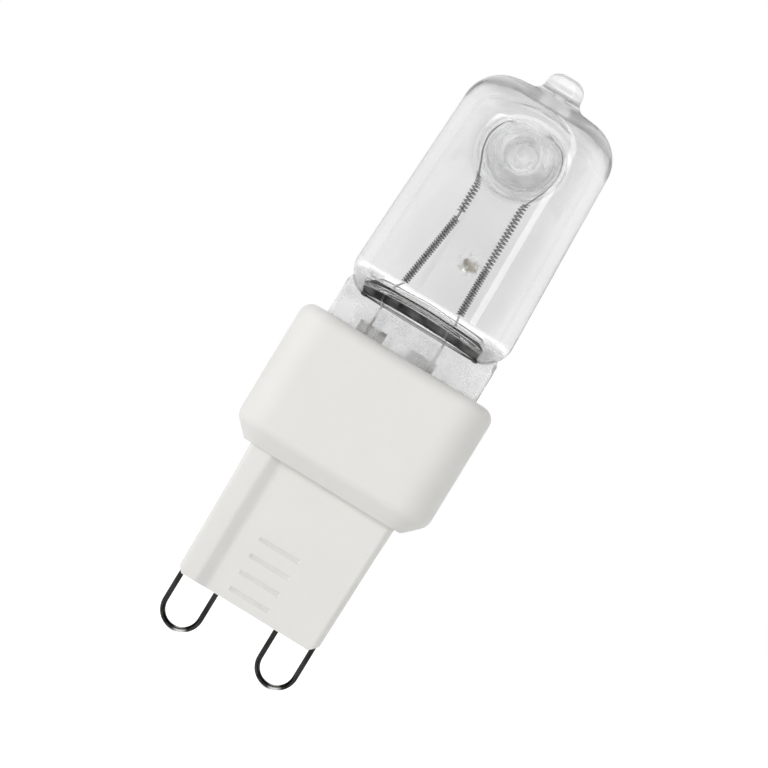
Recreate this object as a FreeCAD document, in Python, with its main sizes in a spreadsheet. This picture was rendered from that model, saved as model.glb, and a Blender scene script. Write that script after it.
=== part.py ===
"""Halogen capsule bulb with a ceramic base, as a parametric document in millimetres.

The origin is the middle of the plug's end face, +Z runs along the lamp's axis to the exhaust tip,
X is the wide way of the base and -Y is its front.
"""
import FreeCAD, Part
import Sketcher
import math
import os

SIZES = [
    # contact loops
    ("loop_pitch", 9.0, "middle to middle of the two contact loops"),
    ("loop_width", 3.3, "leg to leg of one loop, wire middles"),
    ("loop_wire", 0.45, "wire diameter of the loops"),
    ("loop_drop", 4.45, "plug end face to the lowest point of a loop"),
    ("outer_leg_seat", 7.5, "length of a loop's outer leg inside the plug"),
    ("inner_leg_rise", 1.2, "how far a loop's inner leg stands above the pocket floor"),
    ("wire_clearance", 0.04, "room round a wire in its hole"),
    # plug
    ("plug_width", 13.35, "plug under the collar, wide way"),
    ("plug_end_width", 12.9, "plug at its end face, wide way"),
    ("plug_core", 4.6, "plug thickness at its flat panels"),
    ("plug_height", 11.9, "plug end face to the underside of the collar"),
    ("rib_width", 2.0, "flat top of the raised rib along one edge of a panel"),
    ("rib_slope", 0.9, "width of the rib's flank"),
    ("rib_rise", 0.65, "height of the rib above its panel"),
    ("rib_round", 0.7, "rounding at the top and foot of the rib's flank"),
    ("plug_corner", 0.45, "rounding of the plug's long edges"),
    ("plug_end_cut", 0.5, "chamfer at the two ends of the plug's end face"),
    # mould bars on the front panel
    ("bar_length", 3.8, "length of a mould bar"),
    ("bar_width", 0.42, "width of a mould bar"),
    ("bar_depth", 0.1, "depth of a mould bar"),
    ("bar_floor", 0.12, "width of the floor of a mould bar"),
    ("bar_pitch", 1.55, "spacing of the mould bars"),
    ("bar_first", 1.0, "height of the lowest mould bar"),
    ("bar_shift", -0.15, "sideways place of the mould bars"),
    # collar
    ("collar_width", 17.8, "collar, wide way"),
    ("collar_depth", 9.6, "collar, front to back"),
    ("collar_height", 12.2, "height of the collar"),
    ("collar_corner", 2.8, "rounding of the collar's upright edges"),
    ("collar_chamfer", 1.5, "chamfer round the collar's underside"),
    ("collar_land", 0.1, "least flat left between the plug and that chamfer"),
    ("collar_soften", 1.4, "rounding where the chamfer meets the walls"),
    ("collar_rim", 1.1, "rounding of the collar's top edge"),
    ("pocket_depth", 10.8, "depth of the pocket that takes the pinch"),
    ("cement_gap", 0.6, "cement between the pinch and the pocket"),
    ("flare_ease", 0.3, "pocket beyond the bulb's flare, each side"),
    ("cement_sink", 0.6, "cement surface below the collar's rim"),
    # pinch seal
    ("pinch_width", 14.0, "pinch, wide way"),
    ("pinch_thick", 3.2, "pinch, front to back"),
    ("pinch_stand", 2.0, "pocket floor to the bottom of the pinch"),
    ("pinch_show", 2.75, "collar rim to the top of the pinch"),
    ("pinch_root", 0.6, "fillet between the pinch and the bulb's underside"),
    ("pinch_corner", 0.9, "height of the pinch's side edges above its top"),
    ("pinch_ear", 0.45, "rounding of the pinch's top corners"),
    # bulb
    ("tube_diameter", 13.4, "bulb diameter below the dome"),
    ("tube_wall", 1.1, "wall of the bulb"),
    ("flare_width", 14.6, "bulb diameter just above the pinch"),
    ("bottom_round", 2.6, "rounding of the bulb's lower edge at its sides"),
    ("press_round", 2.0, "rounding that the press leaves at the front and back"),
    ("press_slope", 0.3, "rise of the pressed underside from the pinch to its rounding"),
    ("press_margin", 1.0, "how far the pressed rounding ends outside the bulb"),
    ("press_bite", 0.08, "how deep the press cuts into the turned underside"),
    ("floor_thick", 1.1, "glass between the pinch and the hollow"),
    ("floor_half_width", 4.7, "half of the hollow's width at its floor"),
    ("floor_half_depth", 0.5, "half of the hollow's depth at its floor"),
    ("tube_height", 18.2, "top of the pinch to the start of the dome"),
    ("dome_round", 3.2, "rounding between the bulb's wall and its dome"),
    ("dome_rise", 0.25, "rise of the dome from its rounding to the tip"),
    ("dome_wall", 1.4, "glass at the top of the dome"),
    ("hollow_round", 2.1, "rounding at the top of the hollow"),
    # exhaust tip
    ("tip_diameter", 3.3, "exhaust tip"),
    ("tip_height", 2.0, "exhaust tip above the dome"),
    ("tip_round", 1.1, "rounding of the tip's end"),
    ("tip_foot", 0.5, "fillet at the tip's foot"),
    ("tip_bore", 0.9, "what is left of the exhaust bore"),
    ("tip_bore_depth", 1.3, "depth of the exhaust bore above the hollow"),
    # pressed dimples that carry the filament
    ("dimple_rise", 16.05, "top of the pinch to the middle of the dimples"),
    ("dimple_mouth", 2.8, "dimple radius at its outer end, glass included"),
    ("dimple_nose", 1.85, "dimple radius at its inner end, glass included"),
    ("dimple_cap", 0.5, "rounding height of a dimple's inner end"),
    ("dimple_gap", 0.5, "gap between the front and the back dimple"),
    ("dimple_wall", 0.75, "glass of a dimple"),
    ("dimple_skirt", 1.2, "length of a dimple's mouth beyond the bulb's wall"),
    # small mark pressed in the front wall
    ("mark_rise", 6.3, "top of the pinch to the small mark"),
    ("mark_shift", 1.2, "sideways place of the small mark"),
    ("mark_depth", 0.3, "depth of the small mark"),
    ("mark_radius", 0.6, "radius of the ball that makes the small mark"),
    # filament
    ("coil_diameter", 0.7, "outer diameter of the coiled legs"),
    ("arch_wire", 0.2, "wire over the dimples"),
    ("arch_clearance", 0.12, "wire to the dimples' noses"),
    ("foot_rise", 2.45, "top of the pinch to the top of the inner leads"),
    ("coil_gap", 0.1, "top of an inner lead to the foot of its coil"),
    ("left_head_rise", 13.65, "top of the pinch to the head of the left coil"),
    ("right_head_rise", 13.2, "top of the pinch to the head of the right coil"),
    ("neck_rise", 9.2, "top of the pinch to the bare neck of the left coil"),
    ("neck_length", 0.6, "length of that neck"),
    ("left_foot_shift", 0.5, "left coil foot, inward of its lead"),
    ("right_foot_shift", 0.15, "right coil foot, inward of its lead"),
    # leads and foils in the pinch
    ("lead_wire", 0.2, "inner lead wire"),
    ("lead_bend", 1.2, "bend radius of the inner leads"),
    ("lead_straight", 1.2, "top of the pinch to the start of a lead's bend"),
    ("lead_overlap", 1.2, "length of a lead on its foil"),
    ("foil_width", 2.45, "foil, wide way"),
    ("foil_thick", 0.05, "foil thickness"),
    ("foil_length", 7.6, "foil length"),
    ("foil_show", 0.95, "collar rim to the top of the foils"),
    ("left_foil_shift", -0.3, "left foil, inward of the loop's inner leg"),
    ("right_foil_shift", 1.28, "right foil, inward of the loop's inner leg"),
    ("left_lead_shift", 0.35, "left inner lead, outward of its foil's middle"),
    ("right_lead_shift", 0.83, "right inner lead, outward of its foil's middle"),
    ("outer_lead_wire", 0.4, "outer lead wire"),
    ("outer_lead_tail", 1.0, "length of an outer lead beside the loop's leg"),
    ("seal_gap", 0.03, "room round a wire in the glass and in the cement"),
]

SIDES = {"left": -1, "right": 1}
BAR_COUNT = 4

doc = FreeCAD.newDocument("halogen_capsule")
sheet = doc.addObject("Spreadsheet::Sheet", "sizes")


def fill_sheet():
    """One row for each driving dimension: what it is, its value and its alias."""
    for row, (alias, value, note) in enumerate(SIZES, start=1):
        sheet.set(f"A{row}", note)
        sheet.set(f"B{row}", str(value))
        sheet.setAlias(f"B{row}", alias)
    doc.recompute()


# Heights and places that several pieces share, worked out from the sheet.
COLLAR_TOP = "(sizes.plug_height + sizes.collar_height)"
# The chamfer under the collar ends short of the plug's sides and of its ribs.
COLLAR_BEVEL = ("min(sizes.collar_chamfer; (sizes.collar_width - sizes.plug_width) / 2 - sizes.collar_land;"
                " (sizes.collar_depth - sizes.plug_core) / 2 - sizes.rib_rise - sizes.collar_land)")
POCKET_FLOOR = f"({COLLAR_TOP} - sizes.pocket_depth)"
POCKET_WIDTH = ("max(sizes.pinch_width + 2 * sizes.cement_gap;"
                " sizes.flare_width + 2 * sizes.flare_ease)")
POCKET_SPAN = "(sizes.pinch_thick + 2 * sizes.cement_gap)"
PINCH_BOTTOM = f"({POCKET_FLOOR} + sizes.pinch_stand)"
PINCH_TOP = f"({COLLAR_TOP} + sizes.pinch_show)"
DOME_START = f"({PINCH_TOP} + sizes.tube_height)"
DOME_TOP = f"({DOME_START} + sizes.dome_round + sizes.dome_rise)"
TIP_TOP = f"({DOME_TOP} + sizes.tip_height)"
HOLLOW_FLOOR = f"({PINCH_TOP} + sizes.floor_thick)"
HOLLOW_TOP = f"({DOME_TOP} - sizes.dome_wall)"
DIMPLE_LEVEL = f"({PINCH_TOP} + sizes.dimple_rise)"
FOIL_TOP = f"({COLLAR_TOP} + sizes.foil_show)"
FOIL_BOTTOM = f"({FOIL_TOP} - sizes.foil_length)"
FOOT_LEVEL = f"({PINCH_TOP} + sizes.foot_rise)"
COIL_FOOT = f"({FOOT_LEVEL} + sizes.coil_gap)"
LEFT_HEAD = f"({PINCH_TOP} + sizes.left_head_rise)"
RIGHT_HEAD = f"({PINCH_TOP} + sizes.right_head_rise)"
NECK_LEVEL = f"({PINCH_TOP} + sizes.neck_rise)"
NECK_TOP = f"({NECK_LEVEL} + sizes.neck_length)"
INNER_LEG = "((sizes.loop_pitch - sizes.loop_width) / 2)"
OUTER_LEG = "((sizes.loop_pitch + sizes.loop_width) / 2)"
INNER_LEG_TOP = f"({POCKET_FLOOR} + sizes.inner_leg_rise)"
ARCH_RADIUS = "(sizes.dimple_nose + sizes.arch_clearance + sizes.arch_wire / 2)"
# An outer lead lies beside the inner leg of its loop, on the side towards the axis.
OUTER_LEAD = f"({INNER_LEG} - (sizes.loop_wire + sizes.outer_lead_wire) / 2)"
# Both leads of a foil lie on its front, so the thicker one stands further forward.
OUTER_LEAD_FRONT = "((sizes.lead_wire - sizes.outer_lead_wire) / 2)"
OUTER_LEAD_BOTTOM = f"({INNER_LEG_TOP} - sizes.outer_lead_tail)"
OUTER_LEAD_TOP = f"({FOIL_BOTTOM} + sizes.lead_overlap)"
INNER_LEAD_BOTTOM = f"({FOIL_TOP} - sizes.lead_overlap)"
LEAD_BEND_LEVEL = f"({PINCH_TOP} + sizes.lead_straight)"


def foil_place(side):
    return f"({SIDES[side]} * ({INNER_LEG} - sizes.{side}_foil_shift))"


def lead_place(side):
    return f"({foil_place(side)} + {SIDES[side]} * sizes.{side}_lead_shift)"


def foot_place(side):
    return f"({lead_place(side)} - {SIDES[side]} * sizes.{side}_foot_shift)"


def number(expression):
    """The value of an expression over the sheet."""
    return float(sheet.evalExpression(expression.replace("sizes.", "")))


def bind(thing, **expressions):
    """Bind properties to expressions; a double underscore stands for a dot."""
    for name, expression in expressions.items():
        thing.setExpression(name.replace("__", "."), expression)
    return thing


def place(thing, at_x="0", at_y="0", at_z="0"):
    return bind(thing, Placement__Base__x=at_x, Placement__Base__y=at_y, Placement__Base__z=at_z)


def turn(thing, axis, degrees):
    thing.Placement = FreeCAD.Placement(FreeCAD.Vector(), FreeCAD.Rotation(FreeCAD.Vector(*axis), degrees))
    return thing


def add(kind, name, **expressions):
    return bind(doc.addObject(kind, name), **expressions)


def fuse(name, *things):
    joined = doc.addObject("Part::MultiFuse", name)
    joined.Shapes = list(things)
    joined.Refine = True
    return joined


def cut(name, base, tool):
    rest = doc.addObject("Part::Cut", name)
    rest.Base = base
    rest.Tool = tool
    return rest


def origin_plane(body, role):
    return next(plane for plane in body.Origin.OriginFeatures if plane.Role == role)


def new_sketch(body, name, role, lift="0"):
    """A sketch on one of the body's origin planes, lifted along that plane's normal."""
    sketch = body.newObject("Sketcher::SketchObject", name)
    sketch.AttachmentSupport = [(origin_plane(body, role), "")]
    sketch.MapMode = "FlatFace"
    sketch.setExpression("AttachmentOffset.Base.z", lift)
    return sketch


def pin(sketch, piece, point, across, along):
    """Hold one point of a sketch at a place given by two expressions."""
    for kind, expression in (("DistanceX", across), ("DistanceY", along)):
        index = sketch.addConstraint(Sketcher.Constraint(kind, -1, 1, piece, point, number(expression)))
        sketch.setExpression(f"Constraints[{index}]", expression)


def vector(point):
    return FreeCAD.Vector(number(point[0]), number(point[1]), 0)


def add_line(sketch, start, end):
    index = sketch.addGeometry(Part.LineSegment(vector(start), vector(end)))
    pin(sketch, index, 1, *start)
    pin(sketch, index, 2, *end)
    return index


def add_chain(sketch, *points):
    for start, end in zip(points, points[1:]):
        add_line(sketch, start, end)


def add_outline(sketch, *points):
    add_chain(sketch, *points, points[0])


def add_arc(sketch, centre, start, end):
    """An anticlockwise arc held by its centre and its first point, ending in line with `end`."""
    middle, first, last = vector(centre), vector(start), vector(end)
    circle = Part.Circle(middle, FreeCAD.Vector(0, 0, 1), (first - middle).Length)
    first_angle = math.atan2(first.y - middle.y, first.x - middle.x)
    last_angle = math.atan2(last.y - middle.y, last.x - middle.x)
    index = sketch.addGeometry(Part.ArcOfCircle(circle, first_angle, last_angle))
    pin(sketch, index, 3, *centre)
    pin(sketch, index, 1, *start)
    steep = abs(last.x - middle.x) > abs(last.y - middle.y)
    kind, expression = ("DistanceY", end[1]) if steep else ("DistanceX", end[0])
    held = sketch.addConstraint(Sketcher.Constraint(kind, -1, 1, index, 2, number(expression)))
    sketch.setExpression(f"Constraints[{held}]", expression)
    return index


def add_circle(sketch, across, along, radius):
    circle = Part.Circle(vector((across, along)), FreeCAD.Vector(0, 0, 1), number(radius))
    index = sketch.addGeometry(circle)
    pin(sketch, index, 3, across, along)
    held = sketch.addConstraint(Sketcher.Constraint("Radius", index, number(radius)))
    sketch.setExpression(f"Constraints[{held}]", radius)


def edges_where(feature, wanted):
    """Names of a feature's edges whose bounding box and direction pass a test."""
    names = []
    for index, edge in enumerate(feature.Shape.Edges, start=1):
        if wanted(edge, edge.BoundBox):
            names.append(f"Edge{index}")
    return names


def near(first, second):
    return abs(first - second) < 1e-4


def level_at(height):
    """A test for edges that lie flat at one height."""
    def wanted(edge, box):
        return near(box.ZMin, height) and near(box.ZMax, height)
    return wanted


def upright_at(*places):
    """A test for upright edges at any of the given X and Y."""
    def wanted(edge, box):
        upright = near(box.XMin, box.XMax) and near(box.YMin, box.YMax)
        return upright and any(near(box.XMin, x) and near(box.YMin, y) for x, y in places)
    return wanted


def dress(body, kind, name, base, wanted, size):
    """A fillet or chamfer on the edges of a feature that pass a test."""
    doc.recompute()
    dressed = body.newObject(f"PartDesign::{kind}", name)
    dressed.Base = (base, edges_where(base, wanted))
    dressed.setExpression("Radius" if kind == "Fillet" else "Size", size)
    doc.recompute()
    return dressed


def rectangle(sketch, half_width, half_depth):
    low_x, low_y = f"-({half_width})", f"-({half_depth})"
    add_outline(sketch, (low_x, low_y), (half_width, low_y), (half_width, half_depth), (low_x, half_depth))


def make_collar(body):
    """The collar: a block with rounded uprights, a chamfered underside and a soft rim."""
    sketch = new_sketch(body, "collar_plan", "XY_Plane", "sizes.plug_height")
    rectangle(sketch, "sizes.collar_width / 2", "sizes.collar_depth / 2")
    block = body.newObject("PartDesign::Pad", "collar_block")
    block.Profile = sketch
    bind(block, Length="sizes.collar_height")
    half_x, half_y = number("sizes.collar_width / 2"), number("sizes.collar_depth / 2")
    corners = [(x * half_x, y * half_y) for x in (-1, 1) for y in (-1, 1)]
    rounded = dress(body, "Fillet", "collar_uprights", block, upright_at(*corners), "sizes.collar_corner")
    under = level_at(number("sizes.plug_height"))
    bevelled = dress(body, "Chamfer", "collar_underside", rounded, under, COLLAR_BEVEL)
    bevel_top = level_at(number(f"sizes.plug_height + {COLLAR_BEVEL}"))
    softened = dress(body, "Fillet", "collar_bevel_edge", bevelled, bevel_top, "sizes.collar_soften")
    rim = level_at(number(COLLAR_TOP))
    return dress(body, "Fillet", "collar_rim_edge", softened, rim, "sizes.collar_rim")


def plug_corners():
    """The plug's section: a flat bar with a raised rib on one edge of each panel."""
    side, panel = "sizes.plug_end_width / 2", "sizes.plug_core / 2"
    crest = f"{panel} + sizes.rib_rise"
    shelf = "sizes.plug_width / 2 - sizes.rib_width"
    foot = f"{shelf} - sizes.rib_slope"
    half = [(f"-({side})", f"-({crest})"), (f"-({shelf})", f"-({crest})"),
            (f"-({foot})", f"-({panel})"), (side, f"-({panel})")]
    # The section is the same after half a turn.
    return half + [(f"-({x})", f"-({y})") for x, y in half]


def drafted_ends(body, bar):
    """The plug's two ends lean out from the end face to the collar."""
    half_x = number("sizes.plug_end_width / 2")
    doc.recompute()
    ends = []
    for index, face in enumerate(bar.Shape.Faces, start=1):
        box = face.BoundBox
        below_collar = near(box.ZMin, 0) and near(box.XMin, box.XMax)
        if below_collar and near(abs(box.XMin), half_x):
            ends.append(f"Face{index}")
    drafted = body.newObject("PartDesign::Draft", "plug_draft")
    drafted.Base = (bar, ends)
    drafted.NeutralPlane = (origin_plane(body, "XY_Plane"), [""])
    drafted.Reversed = True
    bind(drafted, Angle="atan((sizes.plug_width - sizes.plug_end_width) / 2 / sizes.plug_height)")
    doc.recompute()
    return drafted


def make_plug(body):
    """The plug below the collar, with its ribs, rounded long edges and cut ends."""
    corners = plug_corners()
    sketch = new_sketch(body, "plug_section", "XY_Plane")
    add_outline(sketch, *corners)
    bar = body.newObject("PartDesign::Pad", "plug_bar")
    bar.Profile = sketch
    bind(bar, Length="sizes.plug_height")
    half_x, top_half_x = number("sizes.plug_end_width / 2"), number("sizes.plug_width / 2")
    top = number("sizes.plug_height")

    def end_edge(edge, box):
        flat = near(box.ZMin, 0) and near(box.ZMax, 0)
        return flat and near(box.XMin, box.XMax) and near(abs(box.XMin), half_x)

    def leaning_edge(edge, box):
        leans = near(box.YMin, box.YMax) and near(box.ZMax, top) and box.ZMin < top / 2
        return leans and near(max(-box.XMin, box.XMax), top_half_x) and box.XMin * box.XMax > 0

    leaned = drafted_ends(body, bar)
    trimmed = dress(body, "Chamfer", "plug_ends", leaned, end_edge, "sizes.plug_end_cut")
    spots = [(number(x), number(y)) for x, y in corners]
    flank = upright_at(spots[1], spots[2], spots[5], spots[6])
    eased = dress(body, "Fillet", "rib_flanks", trimmed, flank, "sizes.rib_round")
    return dress(body, "Fillet", "plug_edges", eased, leaning_edge, "sizes.plug_corner")


def make_ceramic_base():
    """Collar and plug, fired as one piece, with the pinch's pocket and the wires' holes."""
    body = doc.addObject("PartDesign::Body", "ceramic_base")
    make_collar(body)
    make_plug(body)

    sketch = new_sketch(body, "pocket_plan", "XY_Plane", COLLAR_TOP)
    rectangle(sketch, f"{POCKET_WIDTH} / 2", f"{POCKET_SPAN} / 2")
    pocket = body.newObject("PartDesign::Pocket", "pinch_pocket")
    pocket.Profile = sketch
    bind(pocket, Length="sizes.pocket_depth")

    hole = "sizes.loop_wire / 2 + sizes.wire_clearance"
    outer_depth = "sizes.outer_leg_seat + sizes.wire_clearance"
    for name, leg, depth in (("inner", INNER_LEG, POCKET_FLOOR), ("outer", OUTER_LEG, outer_depth)):
        sketch = new_sketch(body, f"{name}_hole_plan", "XY_Plane")
        for side in SIDES.values():
            add_circle(sketch, f"{side} * {leg}", "0", hole)
        bores = body.newObject("PartDesign::Pocket", f"{name}_leg_holes")
        bores.Profile = sketch
        bores.Reversed = True
        bind(bores, Length=depth)

    sketch = new_sketch(body, "bar_plan", "XZ_Plane", "sizes.plug_core / 2")
    low_x = "sizes.bar_shift - sizes.bar_length / 2"
    high_x = "sizes.bar_shift + sizes.bar_length / 2"
    low_z = "sizes.bar_first - sizes.bar_width / 2"
    high_z = "sizes.bar_first + sizes.bar_width / 2"
    add_outline(sketch, (low_x, low_z), (high_x, low_z), (high_x, high_z), (low_x, high_z))
    bar = body.newObject("PartDesign::Pocket", "mould_bar")
    bar.Profile = sketch
    bind(bar, Length="sizes.bar_depth",
         TaperAngle="-atan((sizes.bar_width - sizes.bar_floor) / 2 / sizes.bar_depth)")
    doc.recompute()
    bars = body.newObject("PartDesign::LinearPattern", "mould_bars")
    bars.Originals = [bar]
    bars.Direction = (sketch, ["V_Axis"])
    bars.Occurrences = BAR_COUNT
    bind(bars, Length=f"{BAR_COUNT - 1} * sizes.bar_pitch")
    body.Tip = bars
    return body


def make_contact_loop(side):
    """A U of wire: two legs up into the plug and a half-round end below it."""
    sign = SIDES[side]
    bend = "(sizes.loop_width / 2)"
    bend_level = f"(sizes.loop_wire / 2 + {bend} - sizes.loop_drop)"
    legs = []
    tops = {"inner": (INNER_LEG, INNER_LEG_TOP), "outer": (OUTER_LEG, "sizes.outer_leg_seat")}
    for name, (leg, top) in tops.items():
        at_x = f"{sign} * {leg}"
        legs.append(upright_wire(f"{name}_leg_{side}", "sizes.loop_wire", bend_level, top, at_x))
    arc = add("Part::Torus", f"loop_bend_{side}", Radius1=bend, Radius2="sizes.loop_wire / 2")
    arc.Angle3 = 180
    turn(arc, (1, 0, 0), -90)
    place(arc, at_x=f"{sign} * sizes.loop_pitch / 2", at_z=bend_level)
    return fuse(f"contact_loop_{side}", arc, *legs)


def make_foil(side):
    """A thin foil, just behind the leads that are welded to its front."""
    foil = add("Part::Box", f"foil_{side}", Length="sizes.foil_width", Width="sizes.foil_thick",
               Height="sizes.foil_length")
    return place(foil, at_x=f"{foil_place(side)} - sizes.foil_width / 2", at_y="sizes.lead_wire / 2",
                 at_z=FOIL_BOTTOM)


def upright_wire(name, diameter, bottom, top, at_x, at_y="0"):
    wire = add("Part::Cylinder", name, Radius=f"{diameter} / 2", Height=f"{top} - {bottom}")
    return place(wire, at_x=at_x, at_y=at_y, at_z=bottom)


def make_outer_lead(side):
    """A straight wire from the foil's front, out of the pinch and down beside the loop's inner leg."""
    return upright_wire(f"outer_lead_{side}", "sizes.outer_lead_wire", OUTER_LEAD_BOTTOM, OUTER_LEAD_TOP,
                        f"{SIDES[side]} * {OUTER_LEAD}", OUTER_LEAD_FRONT)


def make_inner_lead(side):
    """A wire up from the foil's front, straight through the pinch, then leaning to the coil's foot."""
    body = doc.addObject("PartDesign::Body", f"inner_lead_{side}")
    start, bend = (lead_place(side), INNER_LEAD_BOTTOM), (lead_place(side), LEAD_BEND_LEVEL)
    end = (foot_place(side), FOOT_LEVEL)
    path = new_sketch(body, f"lead_path_{side}", "XZ_Plane")
    add_line(path, start, bend)
    first, last = vector(bend), vector(end)
    lean = 1 if last.x > first.x else -1
    radius = number("sizes.lead_bend")
    # The arc that leaves the upright tangentially, and the straight run from it to the coil's foot.
    reach = FreeCAD.Vector(lean * (last.x - first.x) - radius, last.y - first.y, 0)
    swing = math.pi - math.atan2(reach.y, reach.x) - math.acos(radius / reach.Length)
    middle = FreeCAD.Vector(first.x + lean * radius, first.y, 0)
    touch = middle + FreeCAD.Vector(-lean * math.cos(swing), math.sin(swing), 0) * radius
    circle = Part.Circle(middle, FreeCAD.Vector(0, 0, 1), radius)
    turn_range = (math.pi - swing, math.pi) if lean > 0 else (0, swing)
    arc = path.addGeometry(Part.ArcOfCircle(circle, *turn_range))
    run = path.addGeometry(Part.LineSegment(touch, last))
    arc_start, arc_end = (2, 1) if lean > 0 else (1, 2)
    path.addConstraint(Sketcher.Constraint("Tangent", 0, 2, arc, arc_start))
    path.addConstraint(Sketcher.Constraint("Tangent", arc, arc_end, run, 1))
    held = path.addConstraint(Sketcher.Constraint("Radius", arc, radius))
    path.setExpression(f"Constraints[{held}]", "sizes.lead_bend")
    pin(path, run, 2, *end)
    section = new_sketch(body, f"lead_section_{side}", "XY_Plane", INNER_LEAD_BOTTOM)
    add_circle(section, lead_place(side), "0", "sizes.lead_wire / 2")
    doc.recompute()
    wire = body.newObject("PartDesign::AdditivePipe", f"lead_wire_{side}")
    wire.Profile = section
    wire.Spine = (path, ["Edge1", "Edge2", "Edge3"])
    return body


def make_coil(name, foot, head):
    """A rod from foot to head, each given across and up in the filament's plane."""
    across, up = f"({head[0]} - {foot[0]})", f"({head[1]} - {foot[1]})"
    coil = add("Part::Cylinder", name, Radius="sizes.coil_diameter / 2",
               Height=f"sqrt({across}^2 + {up}^2)")
    turn(coil, (0, 1, 0), math.degrees(math.atan2(number(across), number(up))))
    bind(coil, Placement__Rotation__Angle=f"atan({across} / {up})")
    return place(coil, at_x=foot[0], at_z=foot[1])


def make_filament():
    """Coiled legs, drawn as rods of the coils' outer diameter, and the wire over the dimples."""
    left_x, right_x = f"-{ARCH_RADIUS}", ARCH_RADIUS
    pieces = [
        make_coil("coil_left_lower", (foot_place("left"), COIL_FOOT), (left_x, NECK_LEVEL)),
        make_coil("coil_left_upper", (left_x, NECK_TOP), (left_x, LEFT_HEAD)),
        make_coil("coil_right", (foot_place("right"), COIL_FOOT), (right_x, RIGHT_HEAD)),
    ]
    # The bare wire starts a little way inside the coils that it joins.
    bite = "sizes.coil_diameter / 2"
    runs = [
        ("neck", left_x, NECK_LEVEL, f"({NECK_TOP} + {bite})"),
        ("arch_leg_left", left_x, LEFT_HEAD, DIMPLE_LEVEL),
        ("arch_leg_right", right_x, RIGHT_HEAD, DIMPLE_LEVEL),
    ]
    for name, at_x, coil_end, top in runs:
        pieces.append(upright_wire(name, "sizes.arch_wire", f"({coil_end} - {bite})", top, at_x))
    arch = add("Part::Torus", "arch_bend", Radius1=ARCH_RADIUS, Radius2="sizes.arch_wire / 2")
    arch.Angle3 = 180
    turn(arch, (1, 0, 0), 90)
    pieces.append(place(arch, at_z=DIMPLE_LEVEL))
    return fuse("filament", *pieces)


def free_sketch(name, rotation=FreeCAD.Rotation()):
    """A sketch through the origin, turned into the plane of its profile."""
    sketch = doc.addObject("Sketcher::SketchObject", name)
    sketch.Placement = FreeCAD.Placement(FreeCAD.Vector(), rotation)
    return sketch


FRONT_PLANE = FreeCAD.Rotation(FreeCAD.Vector(1, 0, 0), 90)
SIDE_PLANE = FreeCAD.Rotation(FreeCAD.Vector(1, 1, 1), 120)


def revolved(name, sketch, axis):
    solid = doc.addObject("Part::Revolution", name)
    solid.Source = sketch
    solid.Axis = FreeCAD.Vector(*axis)
    solid.Solid = True
    return solid


def drawn_out(name, sketch, width):
    """A profile drawn out square to its plane, the same to both sides."""
    solid = doc.addObject("Part::Extrusion", name)
    solid.Base = sketch
    solid.DirMode = "Normal"
    solid.Symmetric = True
    solid.Solid = True
    return bind(solid, LengthFwd=width)


def common(name, first, second):
    shared = doc.addObject("Part::Common", name)
    shared.Base = first
    shared.Tool = second
    return shared


def make_bulb_form():
    """Bulb, dome and exhaust tip, turned round the axis."""
    tube, flare, tip = "(sizes.tube_diameter / 2)", "(sizes.flare_width / 2)", "(sizes.tip_diameter / 2)"
    bottom = f"({PINCH_TOP} - sizes.press_bite)"
    round_x, round_level = f"({flare} - sizes.bottom_round)", f"({bottom} + sizes.bottom_round)"
    dome_x, dome_z = f"({tube} - sizes.dome_round)", f"({DOME_START} + sizes.dome_round)"
    foot_x, foot_z = f"({tip} + sizes.tip_foot)", f"({DOME_TOP} + sizes.tip_foot)"
    nose_x, nose_z = f"({tip} - sizes.tip_round)", f"({TIP_TOP} - sizes.tip_round)"
    sketch = free_sketch("bulb_profile", FRONT_PLANE)
    add_chain(sketch, (nose_x, TIP_TOP), ("0", TIP_TOP), ("0", bottom), (round_x, bottom))
    add_arc(sketch, (round_x, round_level), (round_x, bottom), (flare, round_level))
    add_line(sketch, (flare, round_level), (tube, DOME_START))
    add_arc(sketch, (dome_x, DOME_START), (tube, DOME_START), (dome_x, dome_z))
    add_line(sketch, (dome_x, dome_z), (foot_x, DOME_TOP))
    add_arc(sketch, (foot_x, foot_z), (tip, foot_z), (foot_x, DOME_TOP))
    add_line(sketch, (tip, foot_z), (tip, nose_z))
    add_arc(sketch, (nose_x, nose_z), (tip, nose_z), (nose_x, TIP_TOP))
    return revolved("bulb_form", sketch, (0, 0, 1))


def make_pinch_form():
    """The pinch: a plate whose rounded top corners reach up beside the bulb."""
    half, ear = "(sizes.pinch_width / 2)", "sizes.pinch_ear"
    top = f"({PINCH_TOP} + sizes.pinch_corner)"
    ear_x, ear_z = f"({half} - {ear})", f"({top} - {ear})"
    sketch = free_sketch("pinch_profile", FRONT_PLANE)
    add_chain(sketch, (f"-{half}", ear_z), (f"-{half}", PINCH_BOTTOM), (half, PINCH_BOTTOM), (half, ear_z))
    add_arc(sketch, (ear_x, ear_z), (half, ear_z), (ear_x, top))
    add_line(sketch, (ear_x, top), (f"-{ear_x}", top))
    add_arc(sketch, (f"-{ear_x}", ear_z), (f"-{ear_x}", top), (f"-{half}", ear_z))
    return drawn_out("pinch_form", sketch, "sizes.pinch_thick + 2 * sizes.pinch_root")


def add_side_curve(sketch, sign, foot, foot_level, side, top):
    """One half of a pressed side profile, from its foot out along the underside and up to the top."""
    turn_y, turn_z = f"({side} - sizes.press_round)", f"({foot_level} + sizes.press_slope)"
    wall_z = f"({turn_z} + sizes.press_round)"
    add_line(sketch, (f"{sign} * {foot}", foot_level), (f"{sign} * {turn_y}", turn_z))
    centre = (f"{sign} * {turn_y}", wall_z)
    ends = [(f"{sign} * {turn_y}", turn_z), (f"{sign} * {side}", wall_z)]
    add_arc(sketch, centre, *ends[::sign])
    add_line(sketch, (f"{sign} * {side}", wall_z), (f"{sign} * {side}", top))


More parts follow.
